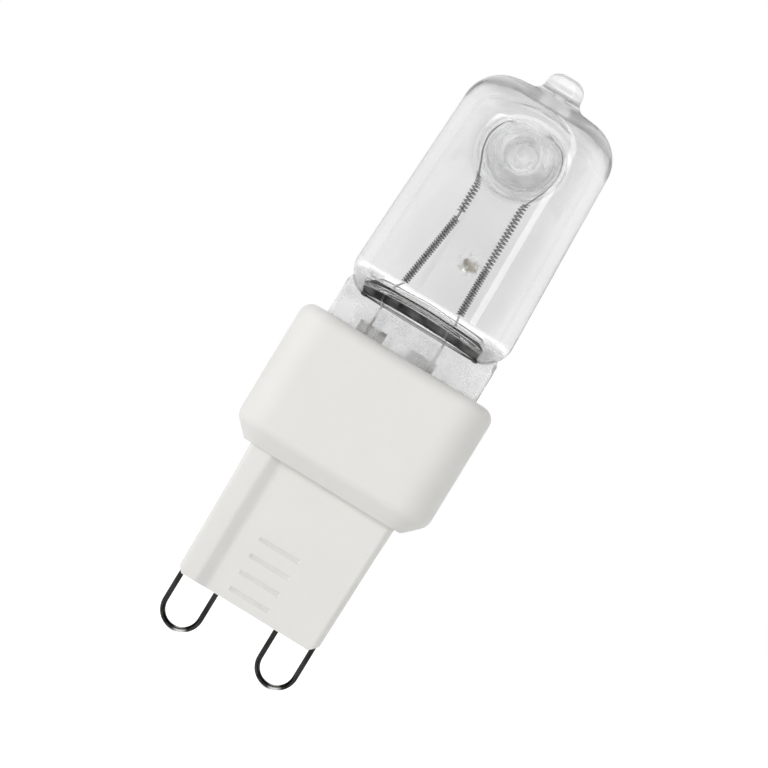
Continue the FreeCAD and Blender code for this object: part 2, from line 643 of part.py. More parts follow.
def make_side_form():
    """What the side view shows, drawn out along X: the thin pinch and the pressed underside."""
    side = "(sizes.flare_width / 2 + sizes.press_margin)"
    pinch = "(sizes.pinch_thick / 2)"
    root_y, root_z = f"({pinch} + sizes.pinch_root)", f"({PINCH_TOP} - sizes.pinch_root)"
    sketch = free_sketch("side_profile", SIDE_PLANE)
    for sign in (1, -1):
        ends = [(f"{sign} * {root_y}", PINCH_TOP), (f"{sign} * {pinch}", root_z)]
        add_arc(sketch, (f"{sign} * {root_y}", root_z), *ends[::sign])
        add_line(sketch, (f"{sign} * {pinch}", root_z), (f"{sign} * {pinch}", PINCH_BOTTOM))
        add_side_curve(sketch, sign, root_y, PINCH_TOP, side, TIP_TOP)
    add_line(sketch, (f"-{pinch}", PINCH_BOTTOM), (pinch, PINCH_BOTTOM))
    add_line(sketch, (f"-{side}", TIP_TOP), (side, TIP_TOP))
    return drawn_out("side_form", sketch, "sizes.flare_width + 2 * sizes.press_margin")


def make_hollow():
    """The hollow: a turned form one wall inside the bulb, pressed to a narrow floor over the pinch."""
    tube = "(sizes.tube_diameter / 2 - sizes.tube_wall)"
    flare = "(sizes.flare_width / 2 - sizes.tube_wall)"
    floor_edge, turned_floor = "sizes.floor_half_width", f"({HOLLOW_FLOOR} - sizes.press_bite)"
    floor_z = f"({turned_floor} + {flare} - {floor_edge})"
    corner_x, corner_z = f"({tube} - sizes.hollow_round)", f"({HOLLOW_TOP} - sizes.hollow_round)"
    bore, bore_top = "(sizes.tip_bore / 2)", f"({HOLLOW_TOP} + sizes.tip_bore_depth)"
    turned = free_sketch("hollow_front_profile", FRONT_PLANE)
    add_chain(turned, (corner_x, HOLLOW_TOP), (bore, HOLLOW_TOP), (bore, bore_top), ("0", bore_top),
              ("0", turned_floor), (floor_edge, turned_floor))
    add_arc(turned, (floor_edge, floor_z), (floor_edge, turned_floor), (flare, floor_z))
    add_line(turned, (flare, floor_z), (tube, corner_z))
    add_arc(turned, (corner_x, corner_z), (tube, corner_z), (corner_x, HOLLOW_TOP))

    side = f"({flare} + sizes.press_margin)"
    pressed = free_sketch("hollow_side_profile", SIDE_PLANE)
    for sign in (1, -1):
        add_side_curve(pressed, sign, "sizes.floor_half_depth", HOLLOW_FLOOR, side, bore_top)
    add_line(pressed, ("-sizes.floor_half_depth", HOLLOW_FLOOR), ("sizes.floor_half_depth", HOLLOW_FLOOR))
    add_line(pressed, (f"-{side}", bore_top), (side, bore_top))
    return common("hollow", revolved("hollow_front_form", turned, (0, 0, 1)),
                  drawn_out("hollow_side_form", pressed, "sizes.flare_width"))


def make_dimple(name, mouth, nose, nose_place):
    """A blunt cone from the front wall towards the axis, turned round a line along Y."""
    outer = "-(sizes.tube_diameter / 2 + sizes.dimple_skirt)"
    cap_radius = f"(({nose}^2 + sizes.dimple_cap^2) / (2 * sizes.dimple_cap))"
    cap_foot = (nose, f"-{nose_place} - sizes.dimple_cap")
    end = ("0", f"-{nose_place}")
    sketch = place(free_sketch(f"{name}_profile"), at_z=DIMPLE_LEVEL)
    add_chain(sketch, end, ("0", outer), (mouth, outer), cap_foot)
    add_arc(sketch, ("0", f"-{nose_place} - {cap_radius}"), cap_foot, end)
    return bind(revolved(name, sketch, (0, 1, 0)), Base__z=DIMPLE_LEVEL)


def mirrored(name, source):
    copy = doc.addObject("Part::Mirroring", name)
    copy.Source = source
    copy.Normal = FreeCAD.Vector(0, 1, 0)
    return copy


def make_mark():
    """A ball that presses the small mark into the front wall."""
    ball = add("Part::Sphere", "mark_ball", Radius="sizes.mark_radius")
    straight = "(sizes.tube_height + sizes.press_bite - sizes.bottom_round)"
    widening = f"((sizes.flare_width - sizes.tube_diameter) / 2 / {straight})"
    wall = f"(sizes.tube_diameter / 2 + {widening} * (sizes.tube_height - sizes.mark_rise))"
    surface = f"sqrt({wall}^2 - sizes.mark_shift^2)"
    return place(ball, at_x="sizes.mark_shift", at_y=f"-{surface} - sizes.mark_radius + sizes.mark_depth",
                 at_z=f"{PINCH_TOP} + sizes.mark_rise")


def wire_rooms(name, diameter, bottom, top, place_of, at_y="0"):
    """Round room for the left and the right wire of a kind, a little wider than the wire."""
    room = f"({diameter} + 2 * sizes.seal_gap)"
    return [upright_wire(f"{name}_{side}", room, bottom, top, place_of(side), at_y) for side in SIDES]


def outer_lead_rooms(name):
    return wire_rooms(name, "sizes.outer_lead_wire", OUTER_LEAD_BOTTOM, OUTER_LEAD_TOP,
                      lambda side: f"{SIDES[side]} * {OUTER_LEAD}", OUTER_LEAD_FRONT)


def make_envelope(outside, foils):
    """The quartz capsule: its outside, less the hollow round the dimples and what is sealed in it."""
    nose = "(sizes.dimple_gap / 2)"
    front = make_dimple("dimple_front", "sizes.dimple_mouth", "sizes.dimple_nose", nose)
    dent_front = make_dimple("dent_front", "(sizes.dimple_mouth - sizes.dimple_wall)",
                             "(sizes.dimple_nose - sizes.dimple_wall)", f"({nose} + sizes.dimple_wall)")
    dimples = fuse("dimples", front, mirrored("dimple_back", front))
    hollowed = cut("envelope_hollowed", outside, cut("hollow_room", make_hollow(), dimples))
    dents = fuse("outside_dents", dent_front, mirrored("dent_back", dent_front), make_mark())
    shell = cut("envelope_shell", hollowed, dents)
    inner_rooms = wire_rooms("inner_lead_room", "sizes.lead_wire", INNER_LEAD_BOTTOM, LEAD_BEND_LEVEL,
                             lead_place)
    sealed_in = fuse("sealed_in_pinch", *foils, *inner_rooms, *outer_lead_rooms("outer_lead_room"))
    return cut("quartz_envelope", shell, sealed_in)


def make_cement(outside):
    """Potting in the pocket, round the pinch and the wires below it."""
    block = add("Part::Box", "cement_block", Length=POCKET_WIDTH, Width=POCKET_SPAN,
                Height="sizes.pocket_depth - sizes.cement_sink")
    place(block, at_x=f"-{POCKET_WIDTH} / 2", at_y=f"-{POCKET_SPAN} / 2", at_z=POCKET_FLOOR)
    legs = wire_rooms("leg_room", "sizes.loop_wire", f"({POCKET_FLOOR} - sizes.seal_gap)", INNER_LEG_TOP,
                      lambda side: f"{SIDES[side]} * {INNER_LEG}")
    return cut("cement", block, fuse("set_in_cement", outside, *legs, *outer_lead_rooms("cement_lead_room")))


def check_document():
    for thing in doc.Objects:
        if "Invalid" in thing.State or "Error" in thing.State:
            raise RuntimeError(f"{thing.Name} failed: {thing.State}")


def write_parts(nodes):
    check_document()
    for node in nodes:
        if node.Shape.isNull() or not node.Shape.isValid() or not node.Shape.Solids:
            raise RuntimeError(f"{node.Label} has no valid solid")
    os.makedirs("parts", exist_ok=True)
    for node in nodes:
        node.Shape.exportStep(f"parts/{node.Label}.step")
        print(f"{node.Label}: {len(node.Shape.Solids)} solid, {node.Shape.Volume:.3f} mm3")


fill_sheet()
ceramic_base = make_ceramic_base()
contact_loops = [make_contact_loop(side) for side in SIDES]
foils = [make_foil(side) for side in SIDES]
outer_leads = [make_outer_lead(side) for side in SIDES]
inner_leads = [make_inner_lead(side) for side in SIDES]
filament = make_filament()
front_form = fuse("front_form", make_bulb_form(), make_pinch_form())
glass_outside = common("envelope_outside", front_form, make_side_form())
envelope = make_envelope(glass_outside, foils)
cement = make_cement(glass_outside)
doc.recompute()
write_parts([envelope, filament, *inner_leads, *foils, *outer_leads, *contact_loops, ceramic_base, cement])
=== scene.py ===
import math

import bpy
import numpy as np
from mathutils import Matrix, Vector


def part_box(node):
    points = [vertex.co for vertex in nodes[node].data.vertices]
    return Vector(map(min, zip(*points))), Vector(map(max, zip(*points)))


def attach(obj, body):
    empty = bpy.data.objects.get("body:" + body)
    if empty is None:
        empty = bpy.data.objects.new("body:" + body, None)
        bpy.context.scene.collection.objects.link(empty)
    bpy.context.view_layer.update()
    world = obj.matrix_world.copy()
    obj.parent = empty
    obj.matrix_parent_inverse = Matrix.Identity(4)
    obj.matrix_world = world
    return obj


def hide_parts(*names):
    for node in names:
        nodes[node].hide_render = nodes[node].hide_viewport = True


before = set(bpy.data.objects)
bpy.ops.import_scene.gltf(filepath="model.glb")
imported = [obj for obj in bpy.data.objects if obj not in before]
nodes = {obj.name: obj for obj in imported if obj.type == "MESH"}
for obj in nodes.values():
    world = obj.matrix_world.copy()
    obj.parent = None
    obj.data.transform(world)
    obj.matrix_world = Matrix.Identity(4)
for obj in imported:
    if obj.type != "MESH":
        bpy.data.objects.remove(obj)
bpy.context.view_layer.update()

MM = 0.001

# Levels and sizes of the solids, in millimetres, as in the part's source.
PINCH_BOTTOM, PINCH_TOP = 15.3, 26.85
PINCH_HALF_WIDTH, PINCH_HALF_THICK, PINCH_CORNER, PINCH_EAR = 7.0, 1.6, 0.9, 0.45
TUBE_RADIUS, FLARE_RADIUS, WALL = 6.7, 7.3, 1.1
BOTTOM_ROUND, PRESS_ROUND, PRESS_SLOPE, PRESS_MARGIN, PRESS_BITE = 2.6, 2.0, 0.3, 1.0, 0.08
PRESS_FOOT, FLOOR_HALF_WIDTH, FLOOR_HALF_DEPTH = 2.2, 4.7, 0.5
DOME_START, DOME_TOP, DOME_ROUND, DOME_RISE = 45.05, 48.5, 3.2, 0.25
HOLLOW_FLOOR, HOLLOW_TOP, HOLLOW_ROUND = 27.95, 47.1, 2.1
TIP_RADIUS, TIP_TOP, TIP_ROUND = 1.65, 50.5, 1.1
TIP_BORE_RADIUS, TIP_BORE_TOP = 0.45, 48.4
DIMPLE_LEVEL, DIMPLE_MOUTH_PLACE, DIMPLE_MOUTH_RADIUS = 42.9, 7.9, 2.8
DIMPLE_NOSE_RADIUS, DIMPLE_NOSE_PLACE, DIMPLE_CAP, DIMPLE_WALL = 1.85, 0.25, 0.5, 0.75
MARK_X, MARK_Z, MARK_RADIUS, MARK_DEPTH = 1.2, 33.15, 0.6, 0.3
LEFT_FOOT_X, RIGHT_FOOT_X, ARCH_RADIUS = -3.0, 2.25, 2.07
COIL_FOOT, NECK_BOTTOM, NECK_TOP, LEFT_HEAD, RIGHT_HEAD = 29.4, 36.05, 36.65, 40.5, 40.05
COIL_RADIUS, COIL_WIRE, ARCH_WIRE = 0.35, 0.14, 0.2
LEFT_LEAD_X, RIGHT_LEAD_X = -3.5, 2.4
BAR_FIRST, BAR_PITCH, BAR_COUNT, BAR_SHIFT, BAR_HALF_LENGTH, PANEL_Y = 1.0, 1.55, 4, -0.15, 1.9, -2.3
LOOP_PLACE = 4.5
TAPER = (FLARE_RADIUS - TUBE_RADIUS) / (DOME_START - PINCH_TOP + PRESS_BITE - BOTTOM_ROUND)
MARK_WALL = math.sqrt((TUBE_RADIUS + TAPER * (DOME_START - MARK_Z)) ** 2 - MARK_X**2)

# How wide the glass forms melt into each other, in millimetres.
PRESS_BLEND, PINCH_EDGE_BLEND, PINCH_BLEND = 0.4, 0.5, 0.2
TIP_BLEND, BORE_BLEND, MARK_BLEND = 1.0, 0.5, 0.2
NOSE_BLEND, DIMPLE_BLEND = 1.5, 1.8

# The sampled rooms round the two glass skins: their low and high corners, a little off the forms' flat faces.
OUTSIDE_ROOM = (-7.61, -7.61, 14.91), (7.6, 7.6, 50.9)
HOLLOW_ROOM = (-6.61, -6.61, 27.11), (6.6, 6.6, 48.5)
CELL, EVENING_ROUNDS = 0.2, 8

# Marks that only the materials show, in millimetres: marks of wear and work, with painted shade, painted
# light and painted glints among them. A pair is a fade's start and end.
# The dark band at the foot is painted shade: a painted reflection of dark surroundings.
DARK_BAND_FOOT, DARK_BAND_TOP, DARK_BAND_ARCH = PINCH_TOP - 0.15, 27.8, 0.01
DARK_BAND_HALF_WIDTH, DARK_BAND_INNER_RADIUS = 5.3, 5.3
# A painted glint on each loop's bend.
GLINT_ASIDE, GLINT_LEVEL, GLINT_CORE, GLINT_EDGE = 0.62, -4.1, 0.3, 0.65
# Painted shade in the recessed mould bars.
BAR_SHADE_CORE, BAR_SHADE_EDGE, BAR_SHADE_REACH, BAR_SHADE_DEPTH, BAR_SHADE_FADE = 0.1, 0.28, 0.4, 0.2, 0.1
STAIN_CORE, STAIN_EDGE, HALO_CORE, HALO_EDGE = 0.4, 0.95, 0.7, 1.2
DIMPLE_HAZE_CORE, PINCH_HAZE_TOP = 2.2, PINCH_TOP - 0.5
# Painted light whitens the bulb's lower corners beside the dark band and the dome's foot.
CORNER_LIGHT_FOOT, CORNER_LIGHT_TOP = (PINCH_TOP - 0.4, PINCH_TOP + 0.2), (28.2, 28.8)
CORNER_LIGHT_SIDE = (DARK_BAND_HALF_WIDTH + 0.1, DARK_BAND_HALF_WIDTH + 0.3)
DOME_LIGHT_FOOT, GREY_SIDE = (HOLLOW_TOP - 0.4, HOLLOW_TOP + 0.6), (2.5, 5.5)

# Windows of a noise's range: the narrower one makes crisper patches.
SOFT, CRISP = (0.3, 0.7), (0.35, 0.65)


# Meshes

def mesh_piece(name, points, faces, material, stands_for, normals=None):
    """A smooth-shaded piece from points in millimetres, in place of a node of the solids."""
    mesh = bpy.data.meshes.new(name)
    places = [tuple(point) for point in np.asarray(points) * MM]
    mesh.from_pydata(places, [], [tuple(face) for face in faces])
    mesh.shade_smooth()
    if normals is not None:
        mesh.normals_split_custom_set_from_vertices([tuple(normal) for normal in normals])
    mesh.materials.append(material)
    piece = bpy.data.objects.new(name, mesh)
    bpy.context.scene.collection.objects.link(piece)
    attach(piece, "root")
    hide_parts(stands_for)
    return piece


# Glass, as a blend of simple forms: each field is negative inside its form and about a distance near it.

def melt_union(first, second, blend):
    share = np.clip(0.5 + 0.5 * (second - first) / blend, 0, 1)
    return second + (first - second) * share - blend * share * (1 - share)


def melt_common(first, second, blend):
    return -melt_union(-first, -second, blend)


def melt_cut(first, second, blend):
    return -melt_union(-first, second, blend)


def rounded_corner(past_side, past_end, radius):
    """A corner in a plane, from how far a point lies past its two faces."""
    across, along = past_side + radius, past_end + radius
    outside = np.hypot(np.maximum(across, 0), np.maximum(along, 0))
    return outside + np.minimum(np.maximum(across, along), 0) - radius


def turned_form(x, y, z, side, bottom, top, bottom_round, top_round):
    """The tapered tube with its rounded ends."""
    radius = np.hypot(x, y)
    past_side = radius - side - TAPER * (DOME_START - z)
    crowned = z + DOME_RISE * np.minimum(radius / (TUBE_RADIUS - DOME_ROUND), 1) ** 2
    upper = rounded_corner(past_side, crowned - top, top_round)
    lower = rounded_corner(past_side, bottom - z, bottom_round)
    return np.where(z > (bottom + top) / 2, upper, lower)


def pressed_form(y, z, side, bottom, foot):
    """The underside that the press leaves at the front and the back."""
    turn = side - PRESS_ROUND
    rise = PRESS_SLOPE * np.clip((np.abs(y) - foot) / (turn - foot), 0, 1)
    return rounded_corner(np.abs(y) - side, bottom + rise - z, PRESS_ROUND)


def dimple_form(x, y, z, thinner):
    """The front and the back dimple; a thinner one is the dent on the outside."""
    depth = np.abs(y)
    nose = DIMPLE_NOSE_PLACE + thinner
    cone_length = DIMPLE_MOUTH_PLACE - DIMPLE_NOSE_PLACE - DIMPLE_CAP
    slope = (DIMPLE_MOUTH_RADIUS - DIMPLE_NOSE_RADIUS) / cone_length
    cone_radius = DIMPLE_NOSE_RADIUS - thinner + slope * (depth - nose - DIMPLE_CAP)
    cone = (np.hypot(x, z - DIMPLE_LEVEL) - cone_radius) / math.hypot(1, slope)
    return melt_common(cone, nose - depth, NOSE_BLEND)


def glass_outside(x, y, z):
    bulb = turned_form(x, y, z, TUBE_RADIUS, PINCH_TOP - PRESS_BITE, DOME_TOP, BOTTOM_ROUND, DOME_ROUND)
    underside = pressed_form(y, z, FLARE_RADIUS + PRESS_MARGIN, PINCH_TOP, PRESS_FOOT)
    bulb = melt_common(bulb, underside, PRESS_BLEND)
    plate = rounded_corner(np.abs(x) - PINCH_HALF_WIDTH, z - PINCH_TOP - PINCH_CORNER, PINCH_EAR)
    pinch = melt_common(plate, np.abs(y) - PINCH_HALF_THICK, PINCH_EDGE_BLEND)
    pinch = np.maximum(pinch, PINCH_BOTTOM - z)
    past_tip = np.abs(z - DOME_TOP) - (TIP_TOP - DOME_TOP)
    tip = rounded_corner(np.hypot(x, y) - TIP_RADIUS, past_tip, TIP_ROUND)
    whole = melt_union(melt_union(bulb, pinch, PINCH_BLEND), tip, TIP_BLEND)
    dented = melt_cut(whole, dimple_form(x, y, z, DIMPLE_WALL), DIMPLE_BLEND)
    mark_y = -MARK_WALL - MARK_RADIUS + MARK_DEPTH
    mark = np.sqrt((x - MARK_X) ** 2 + (y - mark_y) ** 2 + (z - MARK_Z) ** 2) - MARK_RADIUS
    return melt_cut(dented, mark, MARK_BLEND)


def glass_hollow(x, y, z):
    floor_round = FLARE_RADIUS - WALL - FLOOR_HALF_WIDTH
    floor = HOLLOW_FLOOR - PRESS_BITE
    room = turned_form(x, y, z, TUBE_RADIUS - WALL, floor, HOLLOW_TOP, floor_round, HOLLOW_ROUND)
    side = FLARE_RADIUS - WALL + PRESS_MARGIN
    room = melt_common(room, pressed_form(y, z, side, HOLLOW_FLOOR, FLOOR_HALF_DEPTH), PRESS_BLEND)
    past_bore = np.abs(z - HOLLOW_TOP) - (TIP_BORE_TOP - HOLLOW_TOP)
    bore = np.maximum(np.hypot(x, y) - TIP_BORE_RADIUS, past_bore)
    return melt_cut(melt_union(room, bore, BORE_BLEND), dimple_form(x, y, z, 0), DIMPLE_BLEND)


def faces_round_edges(inside, index, inward):
    """A four-sided face, between four cells, round each sampled edge that crosses the surface."""
    faces = []
    for axis in range(3):
        near = np.moveaxis(inside, axis, 0)
        here, beyond = near[:-1, 1:-1, 1:-1], near[1:, 1:-1, 1:-1]
        ring = np.moveaxis(index, axis, 0)
        around = [ring[:, :-1, :-1], ring[:, 1:, :-1], ring[:, 1:, 1:], ring[:, :-1, 1:]]
        # Moving the middle axis to the front mirrors the other two, so its faces run the other way.
        forward = (axis != 1) != inward
        for changed, keep in ((here & ~beyond, forward), (beyond & ~here, not forward)):
            quads = np.stack([cells[changed] for cells in around], axis=1)
            faces.append(quads if keep else quads[:, ::-1])
    return np.concatenate(faces)


def skin(field, low, high, inward=False):
    """Points, faces and normals of the surface where a field is zero, one point for each crossed cell."""
    axes = [np.arange(first, last + CELL, CELL) for first, last in zip(low, high)]
    inside = field(*np.meshgrid(*axes, indexing="ij")) < 0
    filled = np.zeros([size - 1 for size in inside.shape], int)
    for corner in np.ndindex(2, 2, 2):
        filled += inside[tuple(slice(c, c + size) for c, size in zip(corner, filled.shape))]
    crossed = (filled > 0) & (filled < 8)
    index = np.full(filled.shape, -1)
    index[crossed] = np.arange(crossed.sum())
    points = np.array(low) + (np.argwhere(crossed) + 0.5) * CELL
    faces = faces_round_edges(inside, index, inward)
    for _ in range(EVENING_ROUNDS):
        points = settle(field, relax(points, faces))
    normals = slope_of(field, points) * (-1 if inward else 1)
    return points, faces, normals / np.linalg.norm(normals, axis=1)[:, None]


def relax(points, faces):
    """Each point at the middle of its neighbours, which evens out the faces."""
    total, count = np.zeros_like(points), np.zeros(len(points))
    for corner in range(4):
        for neighbour in (corner - 1, (corner + 1) % 4):
            np.add.at(total, faces[:, corner], points[faces[:, neighbour]])
            np.add.at(count, faces[:, corner], 1)
    return total / count[:, None]


def slope_of(field, points, nudge=0.02):
    """How fast the field grows along each axis."""
    slope = np.empty_like(points)
    for axis in range(3):
        shift = np.zeros(3)
        shift[axis] = nudge
        slope[:, axis] = (field(*(points + shift).T) - field(*(points - shift).T)) / (2 * nudge)
    return slope


def settle(field, points, rounds=3, least_steepness=0.05):
    """Move points along the field's slope onto its zero surface."""
    for _ in range(rounds):
        slope = slope_of(field, points)
        steepness = np.maximum((slope**2).sum(axis=1), least_steepness)
        points = points - (field(*points.T) / steepness)[:, None] * slope
    return points


def make_glass(material):
    outer = skin(glass_outside, *OUTSIDE_ROOM)
    inner = skin(glass_hollow, *HOLLOW_ROOM, inward=True)
    points = np.concatenate([outer[0], inner[0]])
    faces = np.concatenate([outer[1], inner[1] + len(outer[0])])
    normals = np.concatenate([outer[2], inner[2]])
    return mesh_piece("capsule_glass", points, faces, material, "quartz_envelope", normals)


# Filament

def tube_along(path, radius, sides=8):
    """A round wire along points, with closed ends."""
    path = np.asarray(path, float)
    ahead = np.gradient(path, axis=0)
    ahead /= np.linalg.norm(ahead, axis=1)[:, None]
    across = np.cross(ahead[0], (0, 1, 0))
    points, faces = [], []
    for place, direction in zip(path, ahead):
        across = across - direction * across.dot(direction)
        across /= np.linalg.norm(across)
        up = np.cross(direction, across)
        for side in range(sides):
            angle = 2 * math.pi * side / sides
            points.append(place + radius * (math.cos(angle) * across + math.sin(angle) * up))
    for ring in range(len(path) - 1):
        for side in range(sides):
            following = (side + 1) % sides
            faces.append((ring * sides + side, ring * sides + following,
                          (ring + 1) * sides + following, (ring + 1) * sides + side))
    faces.append(tuple(range(sides))[::-1])
    faces.append(tuple(range((len(path) - 1) * sides, len(path) * sides)))
    return points, faces


def coil_path(foot, head, tight_share):
    """A coil from foot to head, wound tighter in its lower share."""
    tight_pitch, open_pitch, steps = 0.23, 0.32, 14
    length = np.linalg.norm(head - foot)
    up = (head - foot) / length
    across = np.cross(up, (0, 1, 0))
    across /= np.linalg.norm(across)
    front = np.cross(up, across)
    turns = [0.0]
    while turns[-1] < length:
        pitch = tight_pitch if turns[-1] < tight_share * length else open_pitch
        turns.append(turns[-1] + pitch / steps)
    path = []
    for number, along in enumerate(turns):
        angle = 2 * math.pi * number / steps
        swing = (COIL_RADIUS - COIL_WIRE / 2) * (math.cos(angle) * across + math.sin(angle) * front)
        path.append(foot + up * along + swing)
    return path


def arch_path(rise_steps=12, bend_steps=48):
    """From inside the left coil's head, over the dimple, to inside the right coil's head."""
    left_rise = np.linspace(LEFT_HEAD - COIL_RADIUS, DIMPLE_LEVEL, rise_steps)
    right_rise = np.linspace(RIGHT_HEAD - COIL_RADIUS, DIMPLE_LEVEL, rise_steps)
    bend = np.linspace(math.pi, 0, bend_steps)
    path = [(-ARCH_RADIUS, 0, z) for z in left_rise]
    path += [(ARCH_RADIUS * math.cos(a), 0, DIMPLE_LEVEL + ARCH_RADIUS * math.sin(a)) for a in bend[1:-1]]
    path += [(ARCH_RADIUS, 0, z) for z in right_rise[::-1]]
    return path


def neck_path(steps=8):
    """The bare neck between the two coils of the left leg."""
    heights = np.linspace(NECK_BOTTOM - COIL_RADIUS, NECK_TOP + COIL_RADIUS, steps)
    return [(-ARCH_RADIUS, 0, z) for z in heights]


def make_filament(material):
    # Across and up for the foot and the head of each coil, and the share of it that is wound tight.
    coils = [
        ((LEFT_FOOT_X, COIL_FOOT), (-ARCH_RADIUS, NECK_BOTTOM), 1.0),
        ((-ARCH_RADIUS, NECK_TOP), (-ARCH_RADIUS, LEFT_HEAD), 0.0),
        ((RIGHT_FOOT_X, COIL_FOOT), (ARCH_RADIUS, RIGHT_HEAD), 0.4),
    ]
    wires = []
    for (foot_x, foot_z), (head_x, head_z), share in coils:
        foot, head = np.array((foot_x, 0.0, foot_z)), np.array((head_x, 0.0, head_z))
        wires.append(tube_along(coil_path(foot, head, share), COIL_WIRE / 2))
    for path in (neck_path(), arch_path()):
        wires.append(tube_along(path, ARCH_WIRE / 2))
    points, faces = [], []
    for wire_points, wire_faces in wires:
        first = len(points)
        points.extend(wire_points)
        faces.extend(tuple(corner + first for corner in face) for face in wire_faces)
    return mesh_piece("coiled_filament", points, faces, material, "filament")


# Materials

def new_material(name):
    material = bpy.data.materials.new(name)
    material.use_nodes = True
    return material, material.node_tree, material.node_tree.nodes["Principled BSDF"]


def node(tree, kind, inputs=None, **settings):
    made = tree.nodes.new(kind)
    for name, value in settings.items():
        setattr(made, name, value)
    for name, value in (inputs or {}).items():
        if isinstance(value, bpy.types.NodeSocket):
            tree.links.new(value, made.inputs[name])
        else:
            made.inputs[name].default_value = value
    return made


def millimetres(tree, stretch=(1, 1, 1)):
    """Places on the object, in millimetres of its own frame."""
    place = node(tree, "ShaderNodeTexCoord")
    scale = tuple(share / MM for share in stretch)
    return node(tree, "ShaderNodeMapping", {"Vector": place.outputs["Object"], "Scale": scale}).outputs[0]


def apart(tree, place):
    """The three coordinates of a place."""
    made = node(tree, "ShaderNodeSeparateXYZ", {"Vector": place})
    return made.outputs["X"], made.outputs["Y"], made.outputs["Z"]


def noise(tree, place, scale, detail=3.0, roughness=0.5):
    made = node(tree, "ShaderNodeTexNoise", {"Vector": place, "Scale": scale, "Detail": detail,
                                             "Roughness": roughness})
    return made.outputs["Fac"]


def spread(tree, value, low, high, to_low, to_high):
    made = node(tree, "ShaderNodeMapRange", {"Value": value, "From Min": low, "From Max": high,
                                             "To Min": to_low, "To Max": to_high})
    return made.outputs["Result"]


def above(tree, value, none, full):
    """Nought up to the first level, rising to one at the second."""
    return spread(tree, value, none, full, 0, 1)


def below(tree, value, full, none):
    """One up to the first level, falling to nought at the second."""
    return spread(tree, value, full, none, 1, 0)


def mottle(tree, place, scale, window, least, most, detail=3.0, roughness=0.5):
    """Soft patches from a least to a most value, where the noise crosses a window of its range."""
    return spread(tree, noise(tree, place, scale, detail, roughness), *window, least, most)


def combine(tree, operation, first, *others):
    """One operation over two or more values, from the first on."""
    for other in others:
        first = node(tree, "ShaderNodeMath", {0: first, 1: other}, operation=operation).outputs[0]
    return first


def away_from(tree, value, middle):
    return combine(tree, "ABSOLUTE", combine(tree, "SUBTRACT", value, middle), 0.0)


def off_axis(tree, across, along):
    """The distance of a place from an axis, from its two coordinates square to the axis."""
    flat = node(tree, "ShaderNodeCombineXYZ", {"X": across, "Y": along})
    return node(tree, "ShaderNodeVectorMath", {0: flat.outputs[0]}, operation="LENGTH").outputs["Value"]


def distance(tree, place, spot):
    return node(tree, "ShaderNodeVectorMath", {0: place, 1: spot}, operation="DISTANCE").outputs["Value"]


def blend_colours(tree, share, first, second):
    first, second = [colour if isinstance(colour, bpy.types.NodeSocket) else (*colour, 1)
                     for colour in (first, second)]
    return node(tree, "ShaderNodeMix", {0: share, 6: first, 7: second}, data_type="RGBA").outputs[2]


def blend_values(tree, share, first, second):
    return node(tree, "ShaderNodeMix", {0: share, 2: first, 3: second}, data_type="FLOAT").outputs[0]


def bump(tree, shader, height, strength, distance_mm):
    inputs = {"Height": height, "Strength": strength, "Distance": distance_mm * MM}
    made = node(tree, "ShaderNodeBump", inputs)
    tree.links.new(made.outputs["Normal"], shader.inputs["Normal"])


def mould_bar_shade_share(tree, place):
    """One in the shallow mould bars of the front panel, where shade is painted into the colour, and nought
    elsewhere.
    """
    x, y, z = apart(tree, place)
    from_first = combine(tree, "SUBTRACT", z, BAR_FIRST)
    off_bar = combine(tree, "PINGPONG", from_first, BAR_PITCH / 2)
    aside = away_from(tree, x, BAR_SHIFT)
    over_last = BAR_PITCH * (BAR_COUNT - 1) + BAR_SHADE_REACH
    behind_panel = PANEL_Y + BAR_SHADE_DEPTH
    return combine(
        tree,
        "MULTIPLY",
        below(tree, off_bar, BAR_SHADE_CORE, BAR_SHADE_EDGE),
        below(tree, aside, BAR_HALF_LENGTH - 2 * BAR_SHADE_FADE, BAR_HALF_LENGTH + BAR_SHADE_FADE),
        above(tree, from_first, -BAR_SHADE_REACH - BAR_SHADE_FADE, -BAR_SHADE_REACH),
        below(tree, from_first, over_last, over_last + BAR_SHADE_FADE),
        below(tree, y, behind_panel, behind_panel + BAR_SHADE_FADE),
    )


def ceramic_material():
    """Fired ceramic: off-white, a little cloudy and fine-grained, with painted shade in the mould bars."""
    warm_white, cool_white, bar_shade_grey = (0.80, 0.79, 0.755), (0.83, 0.825, 0.80), (0.5, 0.49, 0.47)
    material, tree, shader = new_material("fired_steatite")
    place = millimetres(tree)
    fired = blend_colours(tree, noise(tree, place, scale=0.25, detail=4), warm_white, cool_white)
    bar_shade_strength = mottle(tree, place, scale=0.9, window=SOFT, least=0.05, most=0.25)
    # Painted shade: the recessed mould bars are darkened in the colour.
    painted_bar_shade = combine(tree, "MULTIPLY", mould_bar_shade_share(tree, place), bar_shade_strength)
    tree.links.new(blend_colours(tree, painted_bar_shade, fired, bar_shade_grey), shader.inputs["Base Color"])
    roughness = mottle(tree, place, scale=1.2, window=SOFT, least=0.42, most=0.58)
    tree.links.new(roughness, shader.inputs["Roughness"])
    shader.inputs["IOR"].default_value = 1.5
    bump(tree, shader, noise(tree, place, scale=6.0, detail=2), strength=0.12, distance_mm=0.02)
    return material


def cement_material():
    """Coarse, matt potting cement."""
    dark, light = (0.55, 0.53, 0.49), (0.78, 0.77, 0.73)
    material, tree, shader = new_material("potting_cement")
    grain = noise(tree, millimetres(tree), scale=3.0, detail=6, roughness=0.7)
    tree.links.new(blend_colours(tree, grain, dark, light), shader.inputs["Base Color"])
    shader.inputs["Roughness"].default_value = 0.9
    bump(tree, shader, grain, strength=0.6, distance_mm=0.1)
    return material


